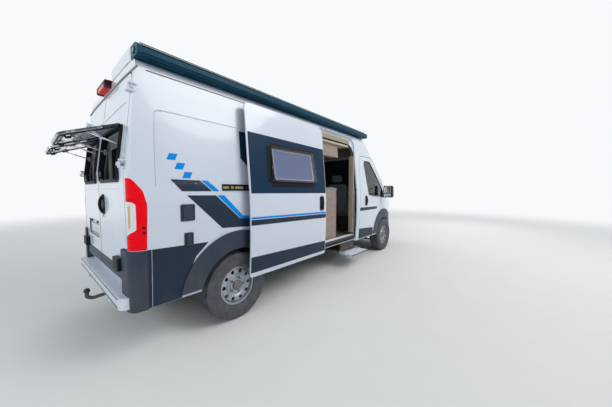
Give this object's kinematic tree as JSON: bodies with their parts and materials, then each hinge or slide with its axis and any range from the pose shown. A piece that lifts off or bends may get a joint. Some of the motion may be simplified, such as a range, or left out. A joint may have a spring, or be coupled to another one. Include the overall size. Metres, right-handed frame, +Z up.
{
  "type": "camper van",
  "caption": "High-roof camper van with hinged rear doors, steered front wheels, open sliding door, awning case, entrance step and a furnished living space.",
  "frame": {"origin": "on the ground, under the middle of the whole vehicle's box", "axes": "+X towards the front of the van, +Y to its left, +Z up"},
  "size_m": [6.3009, 2.508, 2.662],
  "materials": {
    "body_white": "gloss white paint",
    "dark_paint": "satin anthracite",
    "awning_case": "satin anthracite coating",
    "black_steel": "black underbody coating",
    "cast_parts": "cast",
    "window_glass": "dark tinted glass",
    "tinted_acrylic": "tinted acrylic",
    "lamp_cover": "clear lamp cover",
    "lamp_red": "red lens",
    "tread_plate": "raised pattern plate",
    "roof_plastic": "white moulding",
    "black_plastic": "grained black",
    "cabinet_wood": "wood-grain laminate",
    "upholstery": "woven cloth",
    "rim_silver": "silver wheel paint",
    "tyre_rubber": "dusty black rubber"
  },
  "bodies": {
    "van": {"side_wall_right": "body_white", "side_wall_left": "body_white", "roof_shell": "body_white", "rear_frame": "body_white", "cab_frame": "body_white", "front_wing_right": "body_white", "front_wing_left": "body_white", "cab_roof": "body_white", "sliding_door": "body_white", "lower_trim": "dark_paint", "service_flaps": "dark_paint", "front_bumper": "dark_paint", "awning": "awning_case", "floor_pan": "black_steel", "underfloor_units": "black_steel", "rear_axle": "black_steel", "front_subframe": "black_steel", "step_guide": "black_steel", "tow_bar": "black_steel", "door_rails": "black_steel", "engine_block": "cast_parts", "windows": "window_glass", "sliding_window": "window_glass", "headlamps": "lamp_cover", "rear_lamps": "lamp_red", "brake_light": "lamp_red", "rear_step": "tread_plate", "roof_units": "roof_plastic", "dashboard": "black_plastic", "kitchen_unit": "cabinet_wood", "overhead_lockers": "cabinet_wood", "washroom": "cabinet_wood", "bed_base": "cabinet_wood", "dinette": "cabinet_wood", "mattress": "upholstery", "dinette_cushions": "upholstery", "cab_seats": "upholstery"},
    "bonnet": {"bonnet": "body_white"},
    "entrance_step": {"entrance_step": "tread_plate"},
    "cab_door_right": {"cab_door_right": "body_white", "cab_glass_right": "window_glass", "door_mirror_right": "black_plastic"},
    "rear_door_right": {"rear_door_right": "body_white", "rear_window_right": "tinted_acrylic"},
    "knuckle_right": {"knuckle_right": "cast_parts"},
    "wheel_front_right": {"rim_front_right": "rim_silver", "tyre_front_right": "tyre_rubber"},
    "wheel_rear_right": {"rim_rear_right": "rim_silver", "tyre_rear_right": "tyre_rubber"},
    "cab_door_left": {"cab_door_left": "body_white", "cab_glass_left": "window_glass", "door_mirror_left": "black_plastic"},
    "rear_door_left": {"rear_door_left": "body_white", "rear_window_left": "tinted_acrylic"},
    "knuckle_left": {"knuckle_left": "cast_parts"},
    "wheel_front_left": {"rim_front_left": "rim_silver", "tyre_front_left": "tyre_rubber"},
    "wheel_rear_left": {"rim_rear_left": "rim_silver", "tyre_rear_left": "tyre_rubber"}
  },
  "joints": [
    {"name": "bonnet_hinge", "type": "hinge", "parent": "van", "child": "bonnet", "pos_m": [2.46378, 0, 1.34], "axis": [0, -1, 0], "range_deg": [0, 55]},
    {"name": "entrance_step_slide", "type": "slide", "parent": "van", "child": "entrance_step", "axis": [0, 1, 0], "range_m": [0, 0.28]},
    {"name": "cab_door_right_hinge", "type": "hinge", "parent": "van", "child": "cab_door_right", "pos_m": [2.22978, -0.978, 1.266], "axis": [0, 0, 1], "range_deg": [0, 70]},
    {"name": "rear_door_right_hinge", "type": "hinge", "parent": "van", "child": "rear_door_right", "pos_m": [-2.83522, -0.9225, 1.62], "axis": [0.1275, 0, 0.9918], "range_deg": [0, 180]},
    {"name": "steer_right", "type": "hinge", "parent": "van", "child": "knuckle_right", "pos_m": [2.20278, -0.87, 0.366], "axis": [0, 0, 1], "range_deg": [-35, 35]},
    {"name": "front_wheel_right_spin", "type": "hinge", "parent": "knuckle_right", "child": "wheel_front_right", "pos_m": [2.20278, -0.905, 0.366], "axis": [0, 1, 0], "continuous": true},
    {"name": "rear_wheel_right_spin", "type": "hinge", "parent": "van", "child": "wheel_rear_right", "pos_m": [-1.83222, -0.895, 0.366], "axis": [0, 1, 0], "continuous": true},
    {"name": "cab_door_left_hinge", "type": "hinge", "parent": "van", "child": "cab_door_left", "pos_m": [2.22978, 0.978, 1.266], "axis": [0, 0, -1], "range_deg": [0, 70]},
    {"name": "rear_door_left_hinge", "type": "hinge", "parent": "van", "child": "rear_door_left", "pos_m": [-2.83522, 0.9225, 1.62], "axis": [-0.1275, 0, -0.9918], "range_deg": [0, 180]},
    {"name": "steer_left", "type": "hinge", "parent": "van", "child": "knuckle_left", "pos_m": [2.20278, 0.87, 0.366], "axis": [0, 0, 1], "range_deg": [-35, 35]},
    {"name": "front_wheel_left_spin", "type": "hinge", "parent": "knuckle_left", "child": "wheel_front_left", "pos_m": [2.20278, 0.905, 0.366], "axis": [0, 1, 0], "continuous": true},
    {"name": "rear_wheel_left_spin", "type": "hinge", "parent": "van", "child": "wheel_rear_left", "pos_m": [-1.83222, 0.895, 0.366], "axis": [0, 1, 0], "continuous": true}
  ],
  "couplings": [
    {"joint": "steer_right", "follows": "steer_left", "ratio": 1}
  ]
}
